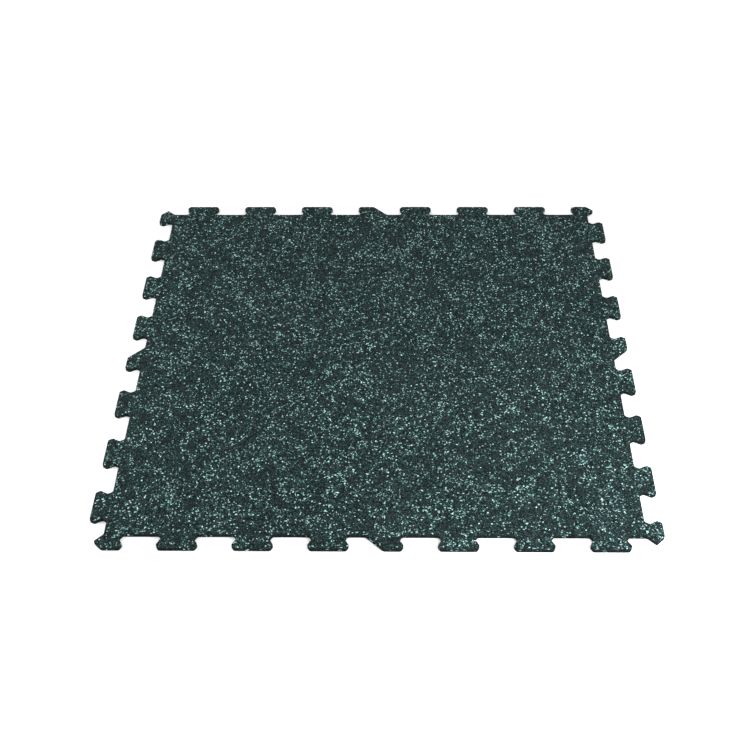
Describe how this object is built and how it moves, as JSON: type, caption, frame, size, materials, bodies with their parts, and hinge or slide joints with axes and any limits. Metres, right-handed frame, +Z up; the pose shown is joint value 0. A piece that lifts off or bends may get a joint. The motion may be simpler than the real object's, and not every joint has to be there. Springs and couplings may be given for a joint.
{
  "type": "interlocking gym floor tile",
  "caption": "Square black rubber gym floor tile with pale green flecks and dovetail puzzle tabs and slots on every side.",
  "frame": {"origin": "centre of the underside", "axes": "+Z up out of the walking face; X and Y along the module's sides"},
  "size_m": [1.0312, 1.0312, 0.008],
  "materials": {
    "flecked_rubber": "matt bonded rubber crumb with scattered pale green granules"
  },
  "bodies": {
    "root": {"rubber_tile": "flecked_rubber"}
  },
  "joints": []
}
